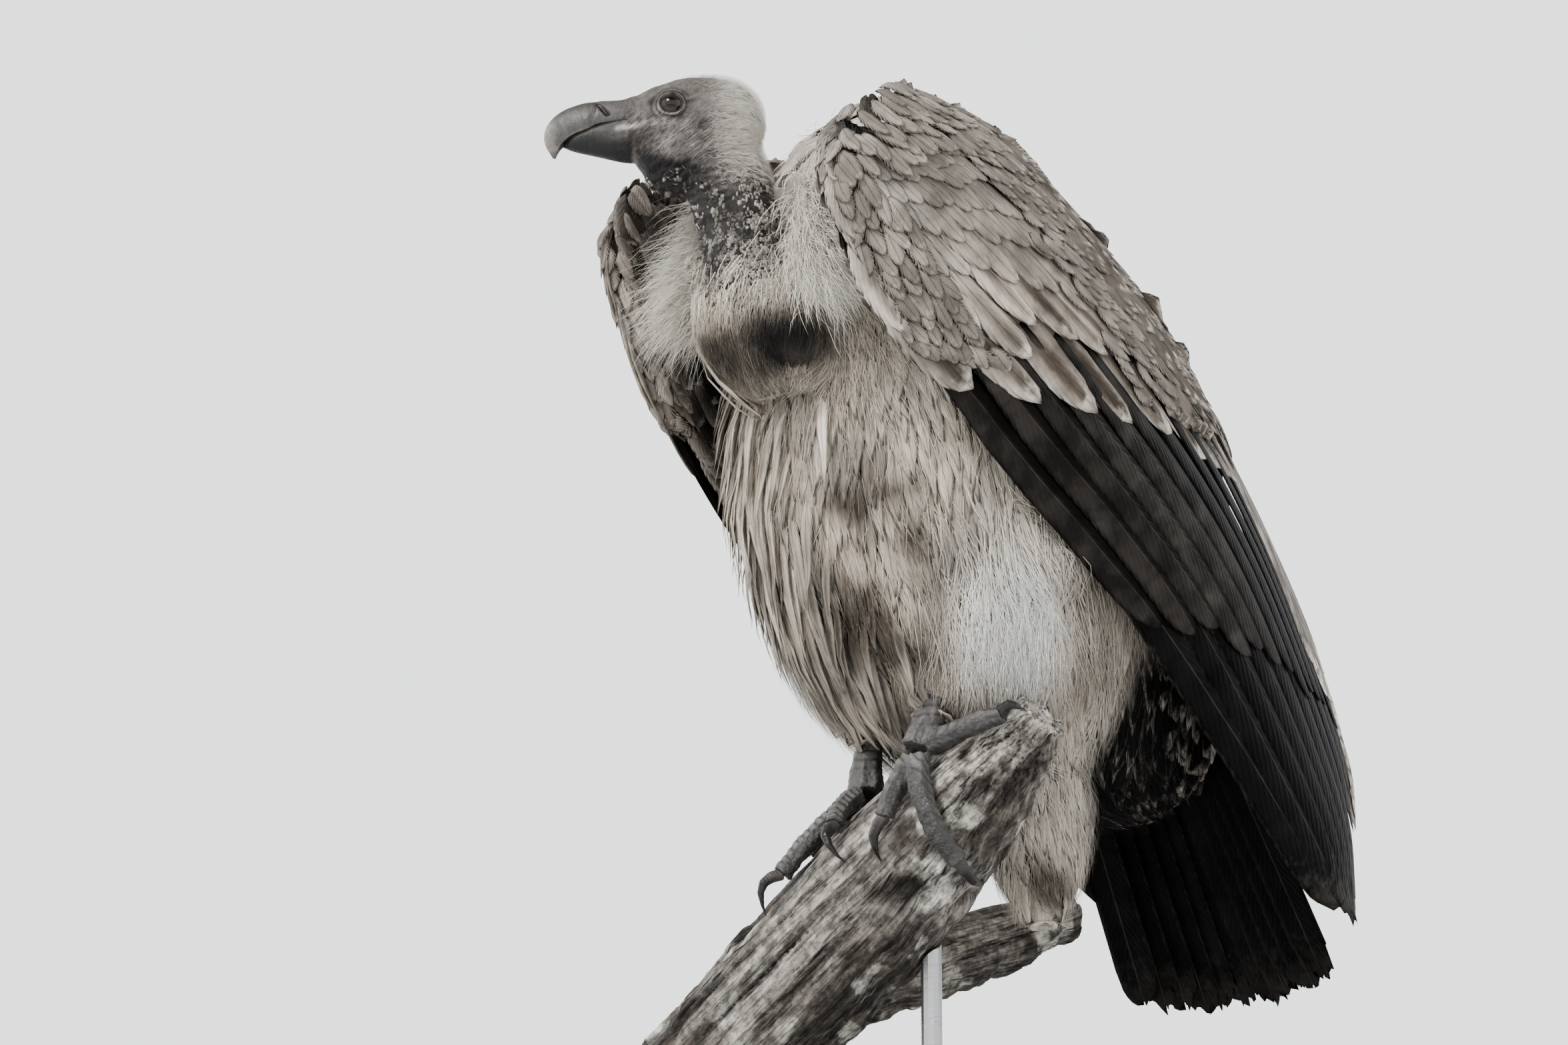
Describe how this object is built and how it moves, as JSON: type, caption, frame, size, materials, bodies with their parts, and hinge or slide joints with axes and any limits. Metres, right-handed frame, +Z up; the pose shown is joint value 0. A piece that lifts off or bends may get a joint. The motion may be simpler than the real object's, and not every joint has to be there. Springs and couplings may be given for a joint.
{
  "type": "white-backed vulture display model",
  "caption": "Life-size still model of a white-backed vulture perched on a cut length of dead branch, wings folded like a cloak, head turned aside, held by rods on a flat base.",
  "frame": {"origin": "middle of the underside of the display stand's base", "axes": "+Z up; the bird's chest faces -Y, its left side is +X, and the limb climbs towards +X"},
  "size_m": [0.4163, 0.6322, 0.8409],
  "materials": {
    "plumage": "matt feathers, pale edges on buff-brown",
    "down": "soft matt down",
    "quills": "stiff satin flight feathers",
    "bare_skin": "dark bare skin with sparse pale down",
    "leg_skin": "dark scaly skin",
    "horn": "worn dark horn, half gloss",
    "cornea": "wet, clear over dark brown",
    "wood": "grey weathered dead wood",
    "board": "dark stained satin board",
    "steel": "satin"
  },
  "bodies": {
    "root": {"bill_lower": "horn", "bill_upper": "horn", "claw_left_inner": "horn", "claw_left_middle": "horn", "claw_left_outer": "horn", "claw_left_hind": "horn", "claw_right_inner": "horn", "claw_right_middle": "horn", "claw_right_outer": "horn", "claw_right_hind": "horn", "eye_left": "cornea", "eye_right": "cornea", "head": "bare_skin", "neck": "bare_skin", "perch": "wood", "ruff": "down", "stand_base": "board", "stand_rod_1": "steel", "stand_rod_2": "steel", "tail": "quills", "tarsus_left": "leg_skin", "tarsus_right": "leg_skin", "thigh_left": "plumage", "thigh_right": "plumage", "toe_left_inner": "leg_skin", "toe_left_middle": "leg_skin", "toe_left_outer": "leg_skin", "toe_left_hind": "leg_skin", "toe_right_inner": "leg_skin", "toe_right_middle": "leg_skin", "toe_right_outer": "leg_skin", "toe_right_hind": "leg_skin", "trunk": "plumage", "vent": "down", "wing_left_coverts": "plumage", "wing_left_secondaries": "quills", "wing_left_primaries": "quills", "wing_right_coverts": "plumage", "wing_right_secondaries": "quills", "wing_right_primaries": "quills"}
  },
  "joints": []
}
